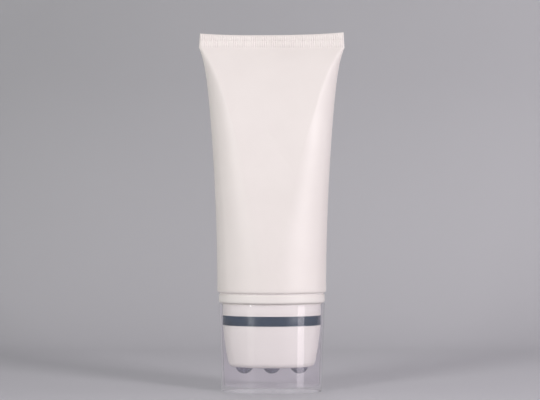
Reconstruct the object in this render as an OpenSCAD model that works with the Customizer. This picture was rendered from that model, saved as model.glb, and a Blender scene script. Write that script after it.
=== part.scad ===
// Oval squeeze tube with a three ball roller head and a clear overcap
// Millimetres, Z up, the origin at the centre of the overcap's underside, the long side of the oval along X

/* [Tube sleeve] */
// Width of the tube at its shoulder
tube_w = 58.8; // [56:0.2:62]
// Depth of the tube at its shoulder
tube_d = 40.8; // [39.6:0.2:43]
// Length of the sleeve from its lower edge to the crimped seal
sleeve_l = 132.4; // [100:0.2:160]
// Wall of the sleeve
sleeve_wall = 0.5; // [0.4:0.05:0.7]
// Radius of the sleeve's lower edge where it turns in to the shoulder
sleeve_edge_r = 1.4; // [1:0.1:1.6]
// How far the flanks beside the flat front are pinched from arcs into slopes near the seal
flank_pinch = 0.35; // [0:0.05:0.5]

/* [Crimped seal] */
// Height of the crimped seal
seal_h = 6.7; // [4:0.1:9]
// Thickness of the crimped seal
seal_t = 1; // [0.8:0.05:1.3]
// Plain strip between the sleeve and the crimping ridges
crimp_foot = 0.4; // [0.3:0.1:1]
// Height of the crimping ridges above the seal's middle plane
ridge_h = 0.09; // [0.04:0.01:0.14]
// How far the seal's ends slant in from its foot to its top
seal_slant = 0.5; // [0:0.1:1]
// How far the seal's two top corners curl up
seal_curl = 1.2; // [0:0.1:1.6]

/* [Shoulder and neck] */
// Thickness of the shoulder plate
plate_t = 2; // [1.6:0.1:3]
// Height of the groove between the sleeve and the collar
groove_h = 0.8; // [0.6:0.1:1.6]
// Outer diameter of the neck
neck_d = 22; // [18:0.5:23]
// Bore of the neck
neck_bore = 17; // [12:0.5:17.5]
// Length of the neck below the shoulder
neck_l = 10; // [9:0.5:12]
// Diameter of the orifice in the neck's end
orifice_d = 5; // [3:0.5:8]
// Thickness of the orifice web
orifice_t = 1.2; // [1:0.1:2]
// Distance of the neck's snap bead below the shoulder
bead_drop = 6; // [4:0.5:7]
// How far the neck's snap bead stands out
bead_h = 0.5; // [0.3:0.05:0.6]

/* [Head base] */
// How far the collar lies in from the sleeve's outer face
collar_in = 0.8; // [0.4:0.1:1.2]
// Height of the collar
collar_h = 4.7; // [4:0.1:6]
// Rounding of the collar's upper edge
collar_r = 0.6; // [0.4:0.1:1]
// Rounding of the collar's lower edge
collar_low_r = 1.4; // [1:0.1:1.5]
// How far the spigot, the band and the head lie in from the sleeve's outer face
spigot_in = 2.9; // [2.8:0.1:3.4]
// Height of the spigot that carries the overcap
spigot_h = 6.6; // [5:0.1:9]
// Wall of the spigot and of the skirt below it
base_wall = 1.6; // [1.2:0.1:2]
// Thickness of the head base's web
web_t = 1.9; // [1.5:0.1:2.4]
// How much shorter the socket is than the neck that it holds
socket_short = 1; // [0.5:0.1:1.5]
// Length of the skirt that reaches into the roller head
skirt_l = 6; // [4:0.5:8]

/* [Trim band] */
// Height of the trim band
band_h = 5.2; // [3:0.1:7]
// Thickness of the trim band
band_t = 1.5; // [1:0.1:1.8]

/* [Roller head] */
// Length of the roller head's shell
head_l = 23.1; // [21:0.1:27]
// How far the shell's top edge lies in from the band
shell_step = 0.2; // [0.1:0.05:0.3]
// How far the shell's side draws in straight
head_draft = 1.2; // [0.8:0.1:1.6]
// How far the shell's side draws in more by its curve
head_curve = 1.6; // [1:0.1:1.8]
// Radius of the shell's lower edge
head_edge_r = 3.3; // [2.8:0.1:3.5]
// Rise of the domed end face towards its edge
head_dome = 0.5; // [0.3:0.1:0.6]
// Wall of the shell
head_wall = 1.5; // [1.2:0.1:1.6]
// Thickness of the shell's end face
end_face_t = 2.2; // [2:0.1:2.6]

/* [Roller balls] */
// Diameter of a roller ball
ball_d = 10; // [9.2:0.1:10.4]
// Distance from an outer ball's socket to the shell's side
ball_margin = 3.5; // [3.4:0.05:4.4]
// How far a ball stands out of the end face
ball_show = 3.4; // [3:0.1:3.8]
// Thickness of the ball carrier's plate
carrier_t = 2; // [1.6:0.1:2.6]
// Wall of a ball cup
cup_wall = 1.2; // [1:0.1:1.5]
// Diameter of the feed hole above each ball
feed_d = 3; // [2:0.2:4]

/* [Overcap] */
// Thickness of the overcap's floor
cap_floor_t = 3; // [2:0.1:5]
// Wall of the overcap
cap_wall = 1.5; // [1.2:0.1:1.7]
// How far the overcap's foot lies in from its rim
cap_draft = 1.55; // [1:0.05:1.8]
// Radius of the overcap's lower edge
cap_edge_r = 1.1; // [0.6:0.1:1.6]
// Rounding of the overcap's rim
rim_r = 0.3; // [0.2:0.05:0.4]
// Height of the grip ring inside the overcap
grip_h = 4.6; // [3:0.1:5]
// Height of the lead in above the grip ring
lead_h = 1; // [0.6:0.1:1.4]
// Space between the overcap's floor and the balls
ball_gap = 6.6; // [4.6:0.1:9]
// Gap between the overcap's rim and the collar
rim_gap = 0.4; // [0.2:0.05:0.8]

/* [Fits] */
// Gap between the overcap's grip ring and the spigot
cap_fit = 0.15; // [0.1:0.05:0.25]
// Gap round a ball in its socket
ball_fit = 0.15; // [0.1:0.01:0.18]
// Gap between parts that are pressed or welded together
seat_fit = 0.06; // [0.04:0.01:0.1]

/* [Hidden] */
$fn = 96;

// The plan is an oval of four arcs: two end arcs on the X axis and two flatter face arcs.
// They meet on lines that rise 4 for every 3 along X, so radii and centres are round numbers too.
half_w = to_hundredth(tube_w / 2);
half_d = to_hundredth(tube_d / 2);
end_r = (3 * half_d - half_w) / 2;
end_c = half_w - end_r;
face_r = 2 * half_w - half_d;
face_c = face_r - half_d;
end_half_a = atan2(4, 3);
face_half_a = 90 - end_half_a;
face_arc_l = face_r * face_half_a * PI / 180;
quarter_l = face_arc_l + end_r * end_half_a * PI / 180;
core_in = half_d + 1;
far = 300;
reach = 20;
wedge_x = end_c + 3 * reach;
wedge_y = 4 * reach;

// Heights, from the overcap's underside up
ball_r = ball_d / 2;
socket_r = ball_r + ball_fit;
ball_z = cap_floor_t + ball_gap + ball_r;
head_z = ball_z - ball_r + ball_show;
band_z = head_z + head_l;
spigot_z = band_z + band_h;
collar_z = spigot_z + spigot_h;
collar_top_z = collar_z + collar_h;
sleeve_z = collar_top_z + groove_h;
seal_z = sleeve_z + sleeve_l;
seal_top_z = seal_z + seal_h;
cap_rim_z = collar_z - rim_gap;

// The sleeve's flattened width follows from its girth, because the film doesn't stretch
seal_half_w = quarter_l - PI * sleeve_wall / 4 + sleeve_wall / 2;
girth_k = (half_w + half_d) / quarter_l;
pinch_start = 0.45;
pinch_rise = 0.4;
flat_end = (quarter_l * flank_k(1) - seal_half_w - seal_t / 2) / (flank_k(1) - 1);
ring_n = 22;
ridge_n = 3;
cavity_end_t = 0.985;
outer_steps = [
    0.03, 0.1, 0.18, 0.26, 0.34, 0.42, 0.5, 0.58, 0.66, 0.73, 0.79, 0.84, 0.88, 0.92, 0.95, 0.975, 0.99
];
inner_steps = [0.9, 0.8, 0.68, 0.54, 0.4, 0.26, 0.12, 0.03];
edge_steps = [0, 30, 60, 90];
curl_shape = 2.6;

// The neck's snap bead, and the groove, which the sleeve's turned in edge meets
bead_z = collar_top_z - bead_drop;
groove_in = sleeve_edge_r + seat_fit;

// The roller head's lower edge, an arc that runs on from the side's slope into the dome's slope
side_in = spigot_in + shell_step;
side_h = head_l - head_edge_r;
side_a = atan((head_draft + 2 * head_curve) / side_h);
dome_a = atan(2 * head_dome / (end_r - side_in - head_draft - head_curve - head_edge_r));
edge_c_z = head_z + head_dome + head_edge_r * cos(dome_a);
side_end_z = edge_c_z - head_edge_r * sin(side_a);
side_end_in = side_depth(side_end_z);
edge_c_in = side_end_in + head_edge_r * cos(side_a);
dome_l = end_r - edge_c_in + head_edge_r * sin(dome_a);

// The shell's inner edge, the balls' places and the carrier's seat on the end face
carrier_z = head_z + end_face_t;
edge_in_r = head_edge_r - head_wall;
floor_a = asin(min(1, (edge_c_z - carrier_z) / edge_in_r));
carrier_in = edge_c_in - edge_in_r * cos(floor_a) + 2 * seat_fit;
ball_pitch = to_hundredth(half_w - side_end_in - ball_margin - socket_r);

// The overcap's foot
foot_in = collar_in + cap_draft;

// The nearest hundredth and thousandth of a millimetre
function to_hundredth(v) = round(v * 100) / 100;
function to_thousandth(v) = round(v * 1000) / 1000;

// Points of an outline on an arc from angle a to angle b, where 0 is outwards and 90 is up.
// Its centre lies in from the sleeve's face by the depth c, at the height z.
function edge_arc(c, z, r, a, b, n = 6) = [
    for (i = [0 : n])
        let (t = a + (b - a) * i / n)
        [c - r * cos(t), z + r * sin(t)]
];

// How far the shell's side lies in from the sleeve's face at height z
function side_depth(z) =
    let (h = (band_z - z) / side_h)
    side_in + head_draft * h + head_curve * h * h;

// How far the overcap's side lies in from the sleeve's face at height z
function cap_depth(z) = foot_in - cap_draft * (z - cap_edge_r) / (cap_rim_z - rim_r - cap_edge_r);

// Direction of the plan's normal at the share s of a quarter, from the middle of a face to an end
function normal_a(s) =
    let (l = s * quarter_l)
    l < face_arc_l
        ? 90 - l / face_r * 180 / PI
        : end_half_a - (l - face_arc_l) / end_r * 180 / PI;

// Point of the plan's quarter whose normal has the angle a
function plan_pt(a) =
    a > end_half_a
        ? [face_r * cos(a), face_r * sin(a) - face_c]
        : [end_c + end_r * cos(a), end_r * sin(a)];

// How far the sleeve's flanks are pinched at the share t of its length
function pinch(t) =
    let (h = min(1, max(0, (t - pinch_start) / pinch_rise)))
    flank_pinch * h * h * (3 - 2 * h);

// A flank's width and depth together, for each unit of its girth: between an arc's and a straight slope's
function flank_k(t) = 1 / (1 / girth_k - (1 / girth_k - 1 / sqrt(2)) * pinch(t));

// The sleeve at the share t of its length: half width, half of its flat front, and half depth
function sleeve_w(t) = half_w + (seal_half_w - half_w) * (0.75 * pow(t, 2) + 0.25 * pow(t, 16));
function sleeve_flat(t) = flat_end * (0.88 * pow(t, 1.3) + 0.12 * pow(t, 14));
function sleeve_d(t) = (quarter_l - sleeve_flat(t)) * flank_k(t) - (sleeve_w(t) - sleeve_flat(t));

// Point of the sleeve's quarter at the share s of its girth, moved in by the depth in
function sleeve_pt(t, s, in) =
    let (
        flat = sleeve_flat(t),
        run = s * quarter_l,
        f = max(0, (run - flat) / (quarter_l - flat)),
        k = pinch(t),
        a = run < flat ? 90 : normal_a(f),
        p = plan_pt(a),
        x = run < flat ? run : flat + (sleeve_w(t) - flat) * ((1 - k) * p[0] / half_w + k * f),
        y = sleeve_d(t) * ((1 - k) * p[1] / half_d + k * (1 - f))
    )
    [x - in * cos(a), y - in * sin(a)];

// A whole ring of the sleeve, counter clockwise from its right end, with n points a quarter
function ring(t, z, in, n = ring_n) = [
    for (i = [0 : 4 * n - 1])
        let (
            quarter = floor(i / n),
            f = (i - quarter * n) / n,
            s = quarter % 2 == 0 ? 1 - f : f,
            p = sleeve_pt(t, s, in),
            sx = quarter == 0 || quarter == 3 ? 1 : -1,
            sy = quarter < 2 ? 1 : -1
        )
        [sx * p[0], sy * p[1], z]
];

// A ring of the seal, bent into ridges, with its ends slanted and its corners curled
function seal_ring(z, share, n) = [
    for (i = [0 : 4 * n - 1])
        let (
            p = ring(1, z, 0, n)[i],
            x = p[0] * (1 - share * seal_slant / seal_half_w),
            ridge = i % 2 == 0 ? ridge_h : -ridge_h,
            curl = share * seal_curl * pow(abs(p[0]) / seal_half_w, curl_shape)
        )
        [x, p[1] + ridge, z + curl]
];

// Faces between two rings of n points that start at the indices a and b
function band_faces(a, b, n) = [
    for (i = [0 : n - 1])
        let (j = (i + 1) % n)
        for (f = [[a + i, b + i, b + j], [a + i, b + j, a + j]])
            f
];

// Faces between a ring of n points at a and a ring of ridge_n times as many at b
function stitch_faces(a, b, n) = [
    for (i = [0 : n - 1])
        let (j = (i + 1) % n, first = b + ridge_n * i, last = b + (ridge_n * (i + 1)) % (ridge_n * n))
        for (f = [
            [a + i, first, first + 1],
            [a + i, first + 1, first + 2],
            [a + i, first + 2, a + j],
            [a + j, first + 2, last]
        ])
            f
];

// Faces that close a ring of n points at a, which face down, or up if turned is true
function lid_faces(a, n, turned) = [
    for (i = [0 : n / 2 - 1])
        let (
            left = a + i,
            right = a + i + 1,
            back = a + n - i - 1,
            start = a + (n - i) % n,
            f1 = [left, right, back],
            f2 = [left, back, start]
        )
        for (f = i == 0 ? [f1] : (i == n / 2 - 1 ? [[left, right, start]] : [f1, f2]))
            turned ? [f[2], f[1], f[0]] : f
];

// Half space wedges that part the plan where its arcs meet: beyond an end centre, and behind the X axis
module end_wedge() {
    translate([0, 0, -far / 2])
        linear_extrude(far)
            polygon([[end_c, 0], [wedge_x, -wedge_y], [wedge_x, wedge_y]]);
}

module face_wedge() {
    translate([0, 0, -far / 2])
        linear_extrude(far)
            polygon([[-end_c, 0], [end_c, 0], [wedge_x, wedge_y], [-wedge_x, wedge_y]]);
}

// A body that follows the oval, from an outline of points [depth in from the sleeve's face, height]
module oval_body(outline) {
    points = [for (p = outline) [to_thousandth(p[0]), to_thousandth(p[1])]];
    for (turn = [0, 180])
        rotate([0, 0, turn]) {
            intersection() {
                translate([end_c, 0, 0])
                    rotate([0, 0, 180])
                        rotate_extrude()
                            polygon([for (p = points) [max(0, end_r - p[0]), p[1]]]);
                end_wedge();
            }
            intersection() {
                translate([0, -face_c, 0])
                    rotate_extrude()
                        polygon([for (p = points) [face_r - p[0], p[1]]]);
                face_wedge();
            }
        }
}

// The oval body of an upright plate
module oval_plate(in, low, high) {
    oval_body([[core_in, low], [in, low], [in, high], [core_in, high]]);
}

module sleeve() {
    edge_in_r = sleeve_edge_r - sleeve_wall;
    edge_z = sleeve_z + sleeve_edge_r;
    wall_rings = concat(
        [ring(cavity_end_t, sleeve_z + cavity_end_t * sleeve_l, sleeve_wall)],
        [for (t = inner_steps) ring(t, sleeve_z + t * sleeve_l, sleeve_wall)],
        [
            for (a = [90, 45, 0])
                ring(0, edge_z - edge_in_r * cos(a), sleeve_wall + edge_in_r * (1 - sin(a)))
        ],
        [for (a = edge_steps) ring(0, edge_z - sleeve_edge_r * cos(a), sleeve_edge_r * (1 - sin(a)))],
        [for (t = outer_steps) ring(t, sleeve_z + t * sleeve_l, 0)],
        [ring(1, seal_z, 0)]
    );
    seal_n = ridge_n * ring_n;
    seal_rings = [seal_ring(seal_z + crimp_foot, 0, seal_n), seal_ring(seal_top_z, 1, seal_n)];
    small_n = 4 * ring_n;
    large_n = 4 * seal_n;
    wall_count = len(wall_rings);
    seal_start = wall_count * small_n;
    points = [
        for (r = concat(wall_rings, seal_rings))
            for (p = r)
                p
    ];
    faces = concat(
        lid_faces(0, small_n, false),
        [for (k = [0 : wall_count - 2]) each band_faces(k * small_n, (k + 1) * small_n, small_n)],
        stitch_faces(seal_start - small_n, seal_start, small_n),
        band_faces(seal_start, seal_start + large_n, large_n),
        lid_faces(seal_start + large_n, large_n, true)
    );
    color("whitesmoke")
        polyhedron(points, faces);
}

// Shoulder plate welded inside the sleeve's lower edge, with the neck and its orifice
module shoulder() {
    weld_in = sleeve_wall + seat_fit;
    edge_in_r = sleeve_edge_r - weld_in;
    edge_z = sleeve_z + sleeve_edge_r;
    plate_low_z = edge_z - edge_in_r;
    neck_r = neck_d / 2;
    neck_end_z = collar_top_z - neck_l;
    color("white")
        difference() {
            union() {
                oval_body(concat(
                    [[core_in, collar_top_z], [groove_in, collar_top_z], [groove_in, plate_low_z]],
                    edge_arc(weld_in + edge_in_r, edge_z, edge_in_r, -90, 0, 4),
                    [[weld_in, plate_low_z + plate_t], [core_in, plate_low_z + plate_t]]
                ));
                rotate_extrude()
                    polygon([
                        [0, neck_end_z],
                        [neck_r, neck_end_z],
                        [neck_r, bead_z - bead_h],
                        [neck_r + bead_h, bead_z],
                        [neck_r, bead_z + bead_h],
                        [neck_r, collar_top_z + plate_t / 2],
                        [0, collar_top_z + plate_t / 2]
                    ]);
            }
            translate([0, 0, neck_end_z + orifice_t])
                cylinder(d = neck_bore, h = far);
            translate([0, 0, neck_end_z - 1])
                cylinder(d = orifice_d, h = far);
        }
}

// Collar, spigot and skirt in one, with a web and a socket that snaps onto the neck
module head_base() {
    band_in = spigot_in + band_t + seat_fit;
    skirt_z = band_z - skirt_l;
    socket_bore_r = neck_d / 2 + seat_fit;
    socket_out_r = socket_bore_r + base_wall;
    socket_z = collar_top_z - neck_l + socket_short;
    web_z = collar_top_z - web_t;
    color("white")
        difference() {
            union() {
                oval_body(concat(
                    edge_arc(collar_in + collar_low_r, collar_z + collar_low_r, collar_low_r, -90, 0),
                    edge_arc(collar_in + collar_r, collar_top_z - collar_r, collar_r, 0, 90),
                    [
                        [core_in, collar_top_z],
                        [core_in, web_z],
                        [spigot_in + base_wall, web_z],
                        [spigot_in + base_wall, spigot_z + base_wall],
                        [band_in + base_wall, spigot_z],
                        [side_depth(skirt_z) + head_wall + seat_fit + base_wall, skirt_z],
                        [side_depth(skirt_z) + head_wall + seat_fit, skirt_z],
                        [side_depth(band_z) + head_wall + seat_fit, band_z],
                        [band_in, band_z],
                        [band_in, spigot_z],
                        [spigot_in, spigot_z],
                        [spigot_in, collar_z]
                    ]
                ));
                translate([0, 0, socket_z])
                    cylinder(r = socket_out_r, h = web_z - socket_z + web_t / 2);
            }
            rotate_extrude()
                polygon([
                    [0, socket_z - 1],
                    [socket_bore_r, socket_z - 1],
                    [socket_bore_r, bead_z - bead_h],
                    [socket_bore_r + bead_h, bead_z],
                    [socket_bore_r, bead_z + bead_h],
                    [socket_bore_r, collar_top_z + 1],
                    [0, collar_top_z + 1]
                ]);
        }
}

module trim_band() {
    color("#4f5a6c")
        oval_body([
            [spigot_in, band_z],
            [spigot_in + band_t, band_z],
            [spigot_in + band_t, spigot_z],
            [spigot_in, spigot_z]
        ]);
}

// Tapered shell with a domed end face and three ball sockets
module head_shell() {
    side_n = 8;
    dome_steps = [0 : 0.25 : 0.75];
    edge_n = 4;
    inner_edge = edge_arc(edge_c_in, edge_c_z, edge_in_r, -floor_a, -side_a, edge_n);
    side_points = [for (i = [1 : side_n]) side_end_z + (band_z - side_end_z) * i / side_n];
    color("white")
        difference() {
            oval_body(concat(
                [[core_in, head_z]],
                [for (h = dome_steps) [end_r - dome_l * h, head_z + head_dome * h * h]],
                edge_arc(edge_c_in, edge_c_z, head_edge_r, dome_a - 90, -side_a),
                [for (z = side_points) [side_depth(z), z]],
                [[core_in, band_z]]
            ));
            oval_body(concat(
                [[core_in, carrier_z]],
                [[inner_edge[0][0], carrier_z]],
                [for (i = [1 : edge_n]) inner_edge[i]],
                [for (z = side_points) [side_depth(z) + head_wall, z]],
                [[side_in + head_wall, band_z + 1], [core_in, band_z + 1]]
            ));
            for (i = [-1 : 1])
                translate([i * ball_pitch, 0, ball_z])
                    sphere(r = socket_r);
        }
}

// Plate that lies on the shell's end face and holds the balls from behind, with a feed hole above each
module ball_carrier() {
    cup_r = socket_r + cup_wall;
    cup_foot_z = carrier_z + carrier_t / 2;
    cup_top_z = ball_z + socket_r + cup_wall;
    color("gainsboro")
        difference() {
            union() {
                oval_plate(carrier_in, carrier_z, carrier_z + carrier_t);
                for (i = [-1 : 1])
                    translate([i * ball_pitch, 0, cup_foot_z])
                        cylinder(r = cup_r, h = cup_top_z - cup_foot_z);
            }
            for (i = [-1 : 1])
                translate([i * ball_pitch, 0, ball_z]) {
                    sphere(r = socket_r);
                    cylinder(d = feed_d, h = far);
                }
        }
}

module roller_ball(place) {
    color("#6d7078")
        translate([place * ball_pitch, 0, ball_z])
            sphere(r = ball_r);
}

// Clear overcap with a thick floor, a drafted wall and a grip ring inside its rim
module cap() {
    grip_in = spigot_in - cap_fit;
    lead_z = cap_rim_z - lead_h;
    grip_z = lead_z - grip_h;
    step_z = grip_z - lead_h;
    corner_r = cap_wall;
    corner_z = cap_floor_t + corner_r;
    corner_in = cap_depth(corner_z) + cap_wall + corner_r;
    color([0.86, 0.89, 0.93, 0.4])
        difference() {
            oval_body(concat(
                [[core_in, 0]],
                edge_arc(foot_in + cap_edge_r, cap_edge_r, cap_edge_r, -90, 0),
                edge_arc(collar_in + rim_r, cap_rim_z - rim_r, rim_r, 0, 90, 3),
                [[core_in, cap_rim_z]]
            ));
            oval_body(concat(
                [[core_in, cap_floor_t]],
                edge_arc(corner_in, corner_z, corner_r, -90, 0, 4),
                [
                    [cap_depth(step_z) + cap_wall, step_z],
                    [grip_in, grip_z],
                    [grip_in, lead_z],
                    [collar_in + cap_wall, cap_rim_z],
                    [collar_in + cap_wall, cap_rim_z + 1],
                    [core_in, cap_rim_z + 1]
                ]
            ));
        }
}

sleeve();
shoulder();
head_base();
trim_band();
head_shell();
ball_carrier();
roller_ball(-1);  // roller_ball_left
roller_ball(0);  // roller_ball_centre
roller_ball(1);  // roller_ball_right
cap();
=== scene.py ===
"""Looks of the oval cosmetic tube: a white squeeze tube with a roller head, on its clear overcap."""
import math

import bpy
import numpy as np
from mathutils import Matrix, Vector


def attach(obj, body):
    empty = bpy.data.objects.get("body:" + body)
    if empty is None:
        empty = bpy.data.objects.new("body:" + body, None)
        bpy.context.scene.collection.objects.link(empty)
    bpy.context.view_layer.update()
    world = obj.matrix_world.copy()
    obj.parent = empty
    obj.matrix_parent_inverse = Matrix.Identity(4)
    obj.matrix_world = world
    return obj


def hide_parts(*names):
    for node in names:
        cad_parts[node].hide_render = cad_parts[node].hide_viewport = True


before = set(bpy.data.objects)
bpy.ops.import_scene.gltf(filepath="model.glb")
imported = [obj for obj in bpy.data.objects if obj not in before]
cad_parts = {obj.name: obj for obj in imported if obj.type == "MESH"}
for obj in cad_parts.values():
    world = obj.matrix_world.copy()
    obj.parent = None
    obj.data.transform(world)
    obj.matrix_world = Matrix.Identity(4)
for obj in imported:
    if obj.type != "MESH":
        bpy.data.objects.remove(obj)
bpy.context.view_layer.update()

MM = 0.001

# The CAD model's sizes in millimetres, as they are in part.scad
HALF_W, HALF_D = 29.4, 20.4
END_R = (3 * HALF_D - HALF_W) / 2
END_C = HALF_W - END_R
FACE_R = 2 * HALF_W - HALF_D
FACE_C = FACE_R - HALF_D
END_HALF_A = math.atan2(4, 3)
FACE_ARC_L = FACE_R * (math.pi / 2 - END_HALF_A)
QUARTER_L = FACE_ARC_L + END_R * END_HALF_A

SLEEVE_L, WALL, EDGE_R = 132.4, 0.5, 1.4
SEAL_T, SEAL_SLANT, SEAL_CURL = 1.0, 0.5, 1.2
SPIGOT_IN, BASE_WALL, SKIRT_L = 2.9, 1.6, 6.0
BAND_T, SHELL_STEP, HEAD_WALL, SEAT_FIT = 1.5, 0.2, 1.5, 0.06
HEAD_DRAFT, HEAD_CURVE, HEAD_EDGE_R, HEAD_DOME = 1.2, 1.6, 3.3, 0.5
END_FACE_T, BALL_D, BALL_PITCH, BALL_FIT = 2.2, 10.0, 14.8, 0.15
NECK_D, NECK_L, SOCKET_SHORT, WEB_T = 22.0, 10.0, 1.0, 1.9
BEAD_DROP, BEAD_H = 6.0, 0.5
COLLAR_IN, COLLAR_R, COLLAR_LOW_R = 0.8, 0.6, 1.4
CAP_FLOOR_T, CAP_WALL, CAP_DRAFT, CAP_EDGE_R, RIM_R = 3.0, 1.5, 1.55, 1.1, 0.3
GRIP_H, LEAD_H, CAP_FIT = 4.6, 1.0, 0.15

# Heights in millimetres
HEAD_Z, BALL_Z, BAND_Z, SPIGOT_Z = 13.0, 14.6, 36.1, 41.3
CAP_RIM_Z, COLLAR_Z, COLLAR_TOP_Z, SLEEVE_Z = 47.5, 47.9, 52.6, 53.4
SEAL_Z, SEAL_TOP_Z = 185.8, 192.5

# The sleeve's flattened end follows from its girth
SEAL_HALF_W = QUARTER_L - math.pi * WALL / 4 + WALL / 2
GIRTH_K = (HALF_W + HALF_D) / QUARTER_L

# Towards the seal the flanks beside the flat front are pinched from arcs into straight slopes
FLANK_PINCH, PINCH_START, PINCH_RISE = 0.35, 0.45, 0.4


def pinch_at(t):
    """How far the flanks are pinched at the share t of the sleeve's length."""
    rise = min(1, max(0, (t - PINCH_START) / PINCH_RISE))
    return FLANK_PINCH * rise * rise * (3 - 2 * rise)


def flank_k(t):
    """A flank's width and depth together, for each unit of its girth."""
    return 1 / (1 / GIRTH_K - (1 / GIRTH_K - 1 / math.sqrt(2)) * pinch_at(t))


FLAT_END = (QUARTER_L * flank_k(1) - SEAL_HALF_W - SEAL_T / 2) / (flank_k(1) - 1)

# Steps round a ring: the sleeve's are fine enough for its crimping ridges
SLEEVE_STEPS = 1040
OVAL_STEPS = 288


# Geometry

def shares(steps):
    """For each step round: share of a quarter's girth from a face to an end, and the signs of x and y."""
    i = np.arange(steps)
    quarter = i // (steps // 4)
    f = i % (steps // 4) / (steps // 4)
    share = np.where(quarter % 2 == 0, 1 - f, f)
    return share, np.where(np.isin(quarter, (0, 3)), 1, -1), np.where(quarter < 2, 1, -1)


def normal_angle(share):
    """Direction of the oval's normal at a share of a quarter."""
    run = share * QUARTER_L
    return np.where(run < FACE_ARC_L, math.pi / 2 - run / FACE_R, END_HALF_A - (run - FACE_ARC_L) / END_R)


def oval_point(angle):
    """Point of the oval's first quarter whose normal has that angle."""
    face = angle > END_HALF_A
    x = np.where(face, FACE_R * np.cos(angle), END_C + END_R * np.cos(angle))
    y = np.where(face, FACE_R * np.sin(angle) - FACE_C, END_R * np.sin(angle))
    return x, y


def oval_ring(depth, z, steps=OVAL_STEPS):
    """Ring of the oval plan, moved in from the sleeve's face by depth, at height z."""
    share, sx, sy = shares(steps)
    angle = normal_angle(share)
    x, y = oval_point(angle)
    return np.column_stack((
        sx * (x - depth * np.cos(angle)), sy * (y - depth * np.sin(angle)), np.full(steps, z)
    ))


def sleeve_ring(t, z, depth):
    """Ring of the sleeve at the share t of its length, partly flattened and with pinched flanks."""
    share, sx, sy = shares(SLEEVE_STEPS)
    flat = FLAT_END * (0.88 * t ** 1.3 + 0.12 * t ** 14)
    width = HALF_W + (SEAL_HALF_W - HALF_W) * (0.75 * t ** 2 + 0.25 * t ** 16)
    pinch = pinch_at(t)
    half_d = (QUARTER_L - flat) * flank_k(t) - (width - flat)
    run = share * QUARTER_L
    on_flat = run < flat
    flank = np.clip((run - flat) / (QUARTER_L - flat), 0, 1)
    angle = np.where(on_flat, math.pi / 2, normal_angle(flank))
    x, y = oval_point(angle)
    x = np.where(on_flat, run, flat + (width - flat) * ((1 - pinch) * x / HALF_W + pinch * flank))
    y = half_d * ((1 - pinch) * y / HALF_D + pinch * (1 - flank))
    return np.column_stack((
        sx * (x - depth * np.cos(angle)), sy * (y - depth * np.sin(angle)), np.full(SLEEVE_STEPS, z)
    ))


def arc(depth, z, radius, start, end, steps=10):
    """Outline points on an arc from angle start to end in degrees, where 0 is outwards and 90 is up."""
    angles = np.radians(np.linspace(start, end, steps + 1))
    return [(depth - radius * math.cos(a), z + radius * math.sin(a)) for a in angles]


def rounded(outline, radius, steps=4, closed=True):
    """Outline whose sharp corners are rounded by up to radius, so that they catch the light."""
    points = [Vector(p) for p in outline]
    result = []
    for i, p in enumerate(points):
        if not closed and i in (0, len(points) - 1):
            result.append(tuple(p))
            continue
        before, after = points[i - 1] - p, points[(i + 1) % len(points)] - p
        turn = math.pi - before.angle(after)
        if turn < math.radians(25):
            result.append(tuple(p))
            continue
        cut = min(radius * math.tan(turn / 2), 0.45 * before.length, 0.45 * after.length)
        a, b = p + before.normalized() * cut, p + after.normalized() * cut
        for k in range(steps + 1):
            f = k / steps
            result.append(tuple(a * (1 - f) ** 2 + p * 2 * f * (1 - f) + b * f ** 2))
    return result


def make_mesh(name, points, faces, sharp=35):
    """Mesh object from points in millimetres, smooth except at edges sharper than the angle sharp."""
    mesh = bpy.data.meshes.new(name)
    mesh.from_pydata([tuple(p) for p in np.asarray(points) * MM], [], faces)
    mesh.validate()
    mesh.shade_smooth()
    mesh.set_sharp_from_angle(angle=math.radians(sharp))
    piece = bpy.data.objects.new(name, mesh)
    bpy.context.scene.collection.objects.link(piece)
    return piece


def strip_lid(start, steps, turned):
    """Faces that close a ring that is symmetric about the X axis by strips across it."""
    faces = [(start, start + 1, start + steps - 1)]
    faces += [(start + i, start + i + 1, start + steps - i - 1, start + steps - i) for i in range(1, steps // 2 - 1)]
    faces.append((start + steps // 2 - 1, start + steps // 2, start + steps // 2 + 1))
    return [f[::-1] for f in faces] if turned else faces


def loft(name, rings, closed=False, sharp=35):
    """Surface through rings of equal count, joined end to end if closed, and else with a lid on each end."""
    steps = len(rings[0])
    faces = []
    for k in range(len(rings) if closed else len(rings) - 1):
        a, b = k * steps, (k + 1) % len(rings) * steps
        faces += [(a + i, a + (i + 1) % steps, b + (i + 1) % steps, b + i) for i in range(steps)]
    if not closed:
        faces += strip_lid(0, steps, True)
        faces += strip_lid((len(rings) - 1) * steps, steps, False)
    return make_mesh(name, np.concatenate(rings), faces, sharp)


def apply_boolean(piece, cutter):
    """Cuts the mesh cutter out of piece and deletes it."""
    cut = piece.modifiers.new("cut", "BOOLEAN")
    cut.operation = "DIFFERENCE"
    cut.solver = "EXACT"
    cut.object = cutter
    graph = bpy.context.evaluated_depsgraph_get()
    mesh = bpy.data.meshes.new_from_object(piece.evaluated_get(graph))
    piece.modifiers.clear()
    piece.data = mesh
    bpy.data.objects.remove(cutter)
    mesh.shade_smooth()
    mesh.set_sharp_from_angle(angle=math.radians(35))


# Materials

def material(name, **values):
    """Principled material with values set on its sockets, and its nodes, links and shader to add to."""
    made = bpy.data.materials.new(name)
    made.use_nodes = True
    nodes = made.node_tree.nodes
    shader = nodes["Principled BSDF"]
    for socket, value in values.items():
        shader.inputs[socket.replace("_", " ")].default_value = value
    return made, nodes, made.node_tree.links, shader


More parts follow.
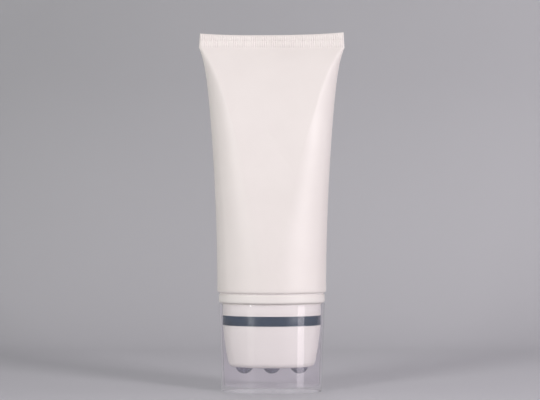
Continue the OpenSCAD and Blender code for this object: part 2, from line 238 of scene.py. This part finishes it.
def noise(nodes, links, scale, detail=3.0, stretch=(1, 1, 1)):
    """Factor socket of a noise over the object's own coordinates, with scale in waves a metre."""
    place = nodes.new("ShaderNodeTexCoord")
    mapping = nodes.new("ShaderNodeMapping")
    mapping.inputs["Scale"].default_value = stretch
    texture = nodes.new("ShaderNodeTexNoise")
    texture.inputs["Scale"].default_value = scale
    texture.inputs["Detail"].default_value = detail
    links.new(place.outputs["Object"], mapping.inputs["Vector"])
    links.new(mapping.outputs["Vector"], texture.inputs["Vector"])
    return texture.outputs["Fac"]


def spread(nodes, links, factor, low, high):
    """The factor's usual range of 0.3 to 0.7, spread from low to high."""
    ranged = nodes.new("ShaderNodeMapRange")
    ranged.inputs["From Min"].default_value = 0.3
    ranged.inputs["From Max"].default_value = 0.7
    ranged.inputs["To Min"].default_value = low
    ranged.inputs["To Max"].default_value = high
    links.new(factor, ranged.inputs["Value"])
    return ranged.outputs["Result"]


def tint(nodes, links, factor, low, high):
    """Colour between low and high by the factor."""
    mix = nodes.new("ShaderNodeMix")
    mix.data_type = "RGBA"
    mix.inputs["A"].default_value = (*low, 1)
    mix.inputs["B"].default_value = (*high, 1)
    links.new(spread(nodes, links, factor, 0, 1), mix.inputs["Factor"])
    return mix.outputs["Result"]


def bump(nodes, links, shader, height, distance, strength=1.0):
    """Bump of the height factor, whose full depth is distance in metres."""
    node = nodes.new("ShaderNodeBump")
    node.inputs["Distance"].default_value = distance
    node.inputs["Strength"].default_value = strength
    links.new(height, node.inputs["Height"])
    links.new(node.outputs["Normal"], shader.inputs["Normal"])


def plastic(name, low, high, roughness, grain, **values):
    """Moulded or extruded plastic: faint colour drift, uneven gloss and a fine surface grain."""
    made, nodes, links, shader = material(name, **values)
    links.new(tint(nodes, links, noise(nodes, links, 40), low, high), shader.inputs["Base Color"])
    links.new(spread(nodes, links, noise(nodes, links, 120), *roughness), shader.inputs["Roughness"])
    bump(nodes, links, shader, noise(nodes, links, 2500, 2), grain)
    return made


film = plastic("sleeve_film", (0.80, 0.74, 0.71), (0.83, 0.77, 0.74), (0.42, 0.5), 4e-6)
white = plastic("moulded_white", (0.80, 0.75, 0.72), (0.83, 0.78, 0.75), (0.42, 0.5), 1e-6)
inner_white = plastic("inner_white", (0.76, 0.71, 0.70), (0.80, 0.75, 0.74), (0.35, 0.45), 3e-6)
slate = plastic("slate_band", (0.004, 0.024, 0.056), (0.008, 0.030, 0.064), (0.22, 0.28), 2e-6)
carrier_grey = plastic("carrier", (0.62, 0.62, 0.62), (0.68, 0.68, 0.68), (0.35, 0.45), 3e-6)

steel, nodes, links, shader = material("polished_steel", Metallic=1.0)
steel_tint = tint(nodes, links, noise(nodes, links, 300), (0.33, 0.335, 0.40), (0.39, 0.395, 0.46))
links.new(steel_tint, shader.inputs["Base Color"])
links.new(spread(nodes, links, noise(nodes, links, 900, 4), 0.2, 0.3), shader.inputs["Roughness"])
bump(nodes, links, shader, noise(nodes, links, 5000, 3, (1, 1, 0.1)), 4e-7)

# The overcap's wall is clearer than its thick foot
WALL_CLEAR, FOOT_CLEAR = 0.98, 0.93
clear, nodes, links, shader = material("clear_cap", IOR=1.02, Coat_Weight=0.9, Coat_Roughness=0.07)
shader.inputs["Base Color"].default_value = (0.98, 0.955, 0.985, 1)
links.new(spread(nodes, links, noise(nodes, links, 200), 0.08, 0.12), shader.inputs["Roughness"])
bump(nodes, links, shader, noise(nodes, links, 60, 1), 2e-6)
place = nodes.new("ShaderNodeTexCoord")
height = nodes.new("ShaderNodeSeparateXYZ")
links.new(place.outputs["Object"], height.inputs["Vector"])
haze = nodes.new("ShaderNodeMapRange")
haze.inputs["From Min"].default_value = CAP_FLOOR_T * MM
haze.inputs["From Max"].default_value = (CAP_FLOOR_T + 0.5) * MM
haze.inputs["To Min"].default_value = FOOT_CLEAR
haze.inputs["To Max"].default_value = WALL_CLEAR
links.new(height.outputs["Z"], haze.inputs["Value"])
links.new(haze.outputs["Result"], shader.inputs["Transmission Weight"])
path = nodes.new("ShaderNodeLightPath")
open_to_light = nodes.new("ShaderNodeBsdfTransparent")
open_to_light.inputs["Color"].default_value = (0.886, 0.905, 0.893, 1)
choice = nodes.new("ShaderNodeMixShader")
links.new(path.outputs["Is Shadow Ray"], choice.inputs["Fac"])
links.new(shader.outputs["BSDF"], choice.inputs[1])
links.new(open_to_light.outputs["BSDF"], choice.inputs[2])
links.new(choice.outputs["Shader"], nodes["Material Output"].inputs["Surface"])


# Pieces

# Faint dents in the sleeve's front: middle x and z, half length, half width and depth, and lean
DENTS = (
    (0.2, 137.5, 3.6, 1.3, 0.10, 40),
    (-1.5, 140.5, 2.4, 1.0, 0.07, 75),
    (7.6, 124.0, 5.2, 1.3, 0.14, 52),
)
DENT_LOW_Z, DENT_TOP_Z = 115.0, 145.0


def press_dents(ring):
    """Presses the dents into the front of a ring of the sleeve."""
    for x, z, length, width, depth, lean in DENTS:
        a = math.radians(lean)
        across, up = ring[:, 0] - x, ring[:, 2] - z
        along = across * math.cos(a) - up * math.sin(a)
        beside = across * math.sin(a) + up * math.cos(a)
        ring[:, 1] += (ring[:, 1] < 0) * depth * np.exp(-(along / length) ** 2 - (beside / width) ** 2)
    return ring


def make_sleeve():
    """The film sleeve with its turned in lower edge, flattened and crimped at the top."""
    edge_z, inner_r = SLEEVE_Z + EDGE_R, EDGE_R - WALL
    rings = [sleeve_ring(t, SLEEVE_Z + t * SLEEVE_L, WALL) for t in (0.985, 0.9, 0.75, 0.5, 0.25, 0.05)]
    for a in np.radians((90, 60, 30, 0)):
        rings.append(sleeve_ring(0, edge_z - inner_r * math.cos(a), WALL + inner_r * (1 - math.sin(a))))
    for a in np.radians(np.linspace(0, 90, 7)):
        rings.append(sleeve_ring(0, edge_z - EDGE_R * math.cos(a), EDGE_R * (1 - math.sin(a))))
    dented = ((DENT_LOW_Z - SLEEVE_Z) / SLEEVE_L, (DENT_TOP_Z - SLEEVE_Z) / SLEEVE_L)
    body = np.concatenate((
        np.linspace(0.02, dented[0], 13), np.linspace(*dented, 24)[1:], np.linspace(dented[1], 0.985, 18)[1:], (0.993,)
    ))
    rings += [press_dents(sleeve_ring(t, SLEEVE_Z + t * SLEEVE_L, 0)) for t in body]
    rings += [seal_ring(z, high) for z, high in seal_levels()]
    return loft("tube_sleeve", rings, sharp=50)


# The crimping ridges' pitch and height, and how much the seal's right end rises and its left end drops
RIDGE_PITCH, RIDGE_H, SEAL_TILT = 1.21, 0.36, 0.32


def seal_levels():
    """Heights of the seal's rings, each with the share of the ridges' full height."""
    return [(SEAL_Z - 0.1, 0), (SEAL_Z + 0.1, 0.25), (SEAL_Z + 0.4, 1), (SEAL_Z + 3.3, 1), (SEAL_Z + 3.45, 0.6),
            (SEAL_Z + 3.6, 1), (SEAL_TOP_Z - 0.7, 1), (SEAL_TOP_Z - 0.5, 0), (SEAL_TOP_Z - 0.3, 0), (SEAL_TOP_Z, -3)]


def seal_ring(z, high):
    """Ring of the crimped seal, with upright ridges, slanted ends and corners that curl up."""
    ring = sleeve_ring(1, z, 0)
    x, side = ring[:, 0].copy(), np.sign(ring[:, 1])
    up = (z - SEAL_Z) / (SEAL_TOP_Z - SEAL_Z)
    wave = np.abs(np.cos(math.pi * x / RIDGE_PITCH))
    on_flat = np.abs(x) < SEAL_HALF_W - 0.6
    ridge = np.where(on_flat, RIDGE_H * wave if high > 0 else 0.1, 0) * abs(high)
    ring[:, 1] += side * (ridge if high > 0 else -ridge)
    ring[:, 0] = x * (1 - up * SEAL_SLANT / SEAL_HALF_W)
    ring[:, 2] += max(0, up) * (SEAL_CURL * (np.abs(x) / SEAL_HALF_W) ** 2.6 + SEAL_TILT * x / SEAL_HALF_W)
    return ring


def side_depth(z):
    """How far the head shell's side lies in at height z."""
    h = (BAND_Z - z) / (BAND_Z - HEAD_Z - HEAD_EDGE_R)
    return SPIGOT_IN + SHELL_STEP + HEAD_DRAFT * h + HEAD_CURVE * h * h


def make_head_base():
    """Collar, spigot, skirt, web and socket."""
    band_in = SPIGOT_IN + BAND_T + SEAT_FIT
    skirt_z, web_z = BAND_Z - SKIRT_L, COLLAR_TOP_Z - WEB_T
    skirt_in = side_depth(skirt_z) + HEAD_WALL + SEAT_FIT
    socket_r = NECK_D / 2 + SEAT_FIT
    outline = rounded([
        (SPIGOT_IN, COLLAR_Z), (SPIGOT_IN, SPIGOT_Z), (band_in, SPIGOT_Z), (band_in, BAND_Z),
        (side_depth(BAND_Z) + HEAD_WALL + SEAT_FIT, BAND_Z), (skirt_in, skirt_z), (skirt_in + BASE_WALL, skirt_z),
        (band_in + BASE_WALL, SPIGOT_Z), (SPIGOT_IN + BASE_WALL, SPIGOT_Z + BASE_WALL), (SPIGOT_IN + BASE_WALL, web_z),
    ], 0.12, closed=False)
    outer = arc(COLLAR_IN + COLLAR_R, COLLAR_TOP_Z - COLLAR_R, COLLAR_R, 90, 0) + \
        arc(COLLAR_IN + COLLAR_LOW_R, COLLAR_Z + COLLAR_LOW_R, COLLAR_LOW_R, 0, -90)
    plan = oval_ring(0, 0)
    around = np.arctan2(plan[:, 1], plan[:, 0])

    def circle(radius, z):
        return np.column_stack((radius * np.cos(around), radius * np.sin(around), np.full(OVAL_STEPS, z)))

    bead_z = COLLAR_TOP_Z - BEAD_DROP
    socket_z = COLLAR_TOP_Z - NECK_L + SOCKET_SHORT
    bore = [(socket_r, socket_z), (socket_r, bead_z - BEAD_H), (socket_r + BEAD_H, bead_z),
            (socket_r, bead_z + BEAD_H), (socket_r, COLLAR_TOP_Z)]
    rings = [oval_ring(d, z) for d, z in outer + outline]
    rings += [circle(socket_r + BASE_WALL, z) for z in (web_z, socket_z)]
    rings += [circle(r, z) for r, z in bore]
    return loft("roller_head_base", rings[::-1], closed=True)


def make_band():
    """The slate trim band, with softened edges."""
    return loft("slate_trim_band", [oval_ring(d, z) for d, z in rounded([
        (SPIGOT_IN, SPIGOT_Z), (SPIGOT_IN + BAND_T, SPIGOT_Z), (SPIGOT_IN + BAND_T, BAND_Z), (SPIGOT_IN, BAND_Z),
    ], 0.1)][::-1], closed=True)


def make_shell():
    """The roller head's tapered shell, with a domed end face and three ball sockets."""
    side_h = BAND_Z - HEAD_Z - HEAD_EDGE_R
    side_a = math.atan((HEAD_DRAFT + 2 * HEAD_CURVE) / side_h)
    side_in = SPIGOT_IN + SHELL_STEP
    dome_a = math.atan(2 * HEAD_DOME / (END_R - side_in - HEAD_DRAFT - HEAD_CURVE - HEAD_EDGE_R))
    edge_z = HEAD_Z + HEAD_DOME + HEAD_EDGE_R * math.cos(dome_a)
    side_end_z = edge_z - HEAD_EDGE_R * math.sin(side_a)
    side_end_in = side_depth(side_end_z)
    edge_in = side_end_in + HEAD_EDGE_R * math.cos(side_a)
    dome_l = END_R - edge_in + HEAD_EDGE_R * math.sin(dome_a)
    heights = np.linspace(side_end_z, BAND_Z, 14)
    inner_r = HEAD_EDGE_R - HEAD_WALL
    carrier_z = HEAD_Z + END_FACE_T
    floor_a = math.degrees(math.asin(min(1, (edge_z - carrier_z) / inner_r)))
    outside = [(END_R - dome_l * h, HEAD_Z + HEAD_DOME * h * h) for h in np.linspace(0.04, 1, 10)[:-1]]
    outside += arc(edge_in, edge_z, HEAD_EDGE_R, math.degrees(dome_a) - 90, -math.degrees(side_a))
    outside += [(side_depth(z), z) for z in heights[1:]]
    inside = [(side_depth(z) + HEAD_WALL, z) for z in heights[::-1]]
    inside += arc(edge_in, edge_z, inner_r, -math.degrees(side_a), -floor_a, 5)
    inside[-1] = (inside[-1][0], carrier_z)
    rim = rounded([outside[-2], outside[-1], inside[0], inside[1]], 0.12, closed=False)[1:-1]
    outline = outside[:-1] + rim + inside[1:]
    shell = loft("roller_head_shell", [oval_ring(d, z) for d, z in outline])
    for place in (-1, 0, 1):
        bpy.ops.mesh.primitive_uv_sphere_add(
            segments=96, ring_count=48, radius=(BALL_D / 2 + BALL_FIT) * MM,
            location=(place * BALL_PITCH * MM, 0, BALL_Z * MM)
        )
        apply_boolean(shell, bpy.context.object)
    return shell


def cap_depth(z):
    """How far the overcap's side lies in at height z."""
    return COLLAR_IN + CAP_DRAFT - CAP_DRAFT * (z - CAP_EDGE_R) / (CAP_RIM_Z - RIM_R - CAP_EDGE_R)


def make_cap():
    """The clear overcap, with a thick floor, a drafted wall and a grip ring inside its rim."""
    foot_in, grip_in = COLLAR_IN + CAP_DRAFT, SPIGOT_IN - CAP_FIT
    lead_z = CAP_RIM_Z - LEAD_H
    grip_z = lead_z - GRIP_H
    step_z = grip_z - LEAD_H
    corner_z = CAP_FLOOR_T + CAP_WALL
    outline = arc(foot_in + CAP_EDGE_R, CAP_EDGE_R, CAP_EDGE_R, -90, 0)
    outline += [(cap_depth(z), z) for z in np.linspace(CAP_EDGE_R, CAP_RIM_Z - RIM_R, 12)[1:-1]]
    outline += arc(COLLAR_IN + RIM_R, CAP_RIM_Z - RIM_R, RIM_R, 0, 90, 6)
    outline += rounded([
        (COLLAR_IN + RIM_R, CAP_RIM_Z), (COLLAR_IN + CAP_WALL, CAP_RIM_Z), (grip_in, lead_z), (grip_in, grip_z),
        (cap_depth(step_z) + CAP_WALL, step_z), (cap_depth(corner_z) + CAP_WALL, corner_z),
    ], 0.3, closed=False)[1:-1]
    outline += arc(cap_depth(corner_z) + 2 * CAP_WALL, corner_z, CAP_WALL, 0, -90, 8)
    return loft("clear_overcap", [oval_ring(d, z) for d, z in outline])


sleeve, base, band, shell, cap = make_sleeve(), make_head_base(), make_band(), make_shell(), make_cap()
for piece, look, node, body in (
    (sleeve, film, "sleeve", "tube"),
    (base, white, "head_base", "tube"),
    (band, slate, "trim_band", "tube"),
    (shell, white, "head_shell", "tube"),
    (cap, clear, "cap", "cap"),
):
    piece.data.materials.clear()
    piece.data.materials.append(look)
    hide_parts(node)
    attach(piece, body)

for node, look in (
    ("shoulder", inner_white),
    ("ball_carrier", carrier_grey),
    ("roller_ball_left", steel),
    ("roller_ball_centre", steel),
    ("roller_ball_right", steel),
):
    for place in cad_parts[node].material_slots:
        place.material = look


# Stage

def make_sweep():
    """Floor that curves up into a wall behind the tube."""
    front, flat_end, radius, top, half = -0.85, 0.27, 0.2, 1.3, 1.15
    floor_z = -0.0002
    line = [(front, floor_z), (flat_end, floor_z)]
    line += [
        (flat_end + radius * math.sin(a), floor_z + radius * (1 - math.cos(a))) for a in np.linspace(0, math.pi / 2, 25)[1:]
    ]
    line.append((flat_end + radius, top))
    points = [(x / MM, y / MM, z / MM) for y, z in line for x in (-half, half)]
    faces = [(2 * k, 2 * k + 1, 2 * k + 3, 2 * k + 2) for k in range(len(line) - 1)]
    return make_mesh("sweep", points, faces)


sweep = make_sweep()
# Painted shade: the paper's colour darkens up the wall, towards the back and to the left, and lightens on the floor in
# front, standing in for how the lamps' light falls off
paper, nodes, links, shader = material("grey_paper", Roughness=0.75)
place = nodes.new("ShaderNodeTexCoord")
along = nodes.new("ShaderNodeVectorMath")
along.operation = "DOT_PRODUCT"
along.inputs[1].default_value = (0.25, -0.38, -0.38)
links.new(place.outputs["Object"], along.inputs[0])
# Painted shade: how far the colour has gone from the darker wall tone to the lighter front floor tone
painted_falloff = nodes.new("ShaderNodeMapRange")
painted_falloff.inputs["From Min"].default_value = -0.32
painted_falloff.inputs["From Max"].default_value = 0.06
links.new(along.outputs["Value"], painted_falloff.inputs["Value"])
shade = nodes.new("ShaderNodeMix")
shade.data_type = "RGBA"
links.new(painted_falloff.outputs["Result"], shade.inputs["Factor"])
links.new(tint(nodes, links, noise(nodes, links, 6), (0.362, 0.360, 0.374), (0.372, 0.370, 0.384)), shade.inputs["A"])
shade.inputs["B"].default_value = (0.655, 0.64, 0.68, 1)
links.new(shade.outputs["Result"], shader.inputs["Base Color"])
bump(nodes, links, shader, noise(nodes, links, 1500), 2e-5)
# The paper is seen from its front only, so that the wall hides nothing from behind
geometry = nodes.new("ShaderNodeNewGeometry")
nothing = nodes.new("ShaderNodeBsdfTransparent")
side = nodes.new("ShaderNodeMixShader")
links.new(geometry.outputs["Backfacing"], side.inputs["Fac"])
links.new(shader.outputs["BSDF"], side.inputs[1])
links.new(nothing.outputs["BSDF"], side.inputs[2])
links.new(side.outputs["Shader"], nodes["Material Output"].inputs["Surface"])
sweep.data.materials.append(paper)
sweep.visible_glossy = False

AIM = Vector((0, 0, 0.09))


def softbox(name, azimuth, elevation, distance, size, power, colour, mirrored=True, transmitted=True, lit=True):
    """Area lamp aimed at the tube, from degrees right of the camera and above it.

    Gloss shows it if mirrored, transmission rays if also transmitted, and it lights surfaces if lit.
    """
    lamp = bpy.data.lights.new(name, "AREA")
    lamp.shape = "RECTANGLE"
    lamp.size, lamp.size_y = size
    lamp.energy = power
    lamp.color = colour
    holder = bpy.data.objects.new(name, lamp)
    a, e = math.radians(azimuth), math.radians(elevation)
    holder.location = AIM + distance * Vector((math.sin(a) * math.cos(e), -math.cos(a) * math.cos(e), math.sin(e)))
    holder.rotation_euler = (AIM - holder.location).to_track_quat("-Z", "Y").to_euler()
    holder.visible_diffuse = lit
    holder.visible_glossy = mirrored
    holder.visible_transmission = mirrored and transmitted
    bpy.context.scene.collection.objects.link(holder)


softbox("right_key", 39, 19, 1.5, (0.36, 0.9), 10.7, (1.0, 0.96, 0.985), transmitted=False)
softbox("left_key", -34, 19, 1.5, (0.36, 0.9), 7.8, (0.99, 1.0, 0.98), transmitted=False)
softbox("right_side", 82, 8, 1.4, (0.6, 0.5), 2.8, (1.0, 0.965, 0.985), mirrored=False)
softbox("left_side", -82, 8, 1.4, (0.6, 0.5), 2.3, (0.93, 1.0, 0.88), mirrored=False)
softbox("top_light", 0, 84, 1.1, (0.9, 0.3), 0.5, (1.0, 0.99, 1.0), transmitted=False)
softbox("back_fill", 180, 30, 0.5, (0.5, 0.2), 0.26, (1.0, 0.98, 0.99), mirrored=False)
softbox("front_fill", 0, -6, 1.2, (1.0, 0.24), 0.9, (1.0, 0.99, 1.0), mirrored=False)
softbox("right_strip", 50.5, -9, 0.8, (0.17, 0.2), 0.42, (1.0, 0.92, 0.97), transmitted=False, lit=False)
softbox("left_strip", -36, -9, 0.8, (0.16, 0.2), 0.05, (1.0, 1.0, 0.97), transmitted=False, lit=False)
softbox("right_glint", 51, 3.6, 0.8, (0.19, 0.12), 0.9, (1.0, 0.96, 0.98), transmitted=False, lit=False)
softbox("left_glint", -37, 3.6, 0.8, (0.12, 0.12), 0.4, (1.0, 1.0, 1.0), transmitted=False, lit=False)

world = bpy.data.worlds.new("studio")
bpy.context.scene.world = world
world.use_nodes = True
world.node_tree.nodes["Background"].inputs["Color"].default_value = (0.96, 0.95, 1.0, 1)
world.node_tree.nodes["Background"].inputs["Strength"].default_value = 0.22
mirrored_sky = world.node_tree.nodes.new("ShaderNodeBackground")
mirrored_sky.inputs["Color"].default_value = (0.96, 0.95, 1.0, 1)
mirrored_sky.inputs["Strength"].default_value = 0.38
sky_path = world.node_tree.nodes.new("ShaderNodeLightPath")
sky = world.node_tree.nodes.new("ShaderNodeMixShader")
world.node_tree.links.new(sky_path.outputs["Is Glossy Ray"], sky.inputs["Fac"])
world.node_tree.links.new(world.node_tree.nodes["Background"].outputs["Background"], sky.inputs[1])
world.node_tree.links.new(mirrored_sky.outputs["Background"], sky.inputs[2])
world.node_tree.links.new(sky.outputs["Shader"], world.node_tree.nodes["World Output"].inputs["Surface"])

camera = bpy.data.objects.new("camera", bpy.data.cameras.new("camera"))
camera.data.sensor_fit = "HORIZONTAL"
camera.data.sensor_width = 36
camera.data.lens = 123.33
camera.location = (-0.00095, -1.0, 0.1034)
camera.rotation_euler = (math.pi / 2, 0, 0)
bpy.context.scene.collection.objects.link(camera)
bpy.context.scene.camera = camera
bpy.context.scene.view_settings.view_transform = "Standard"
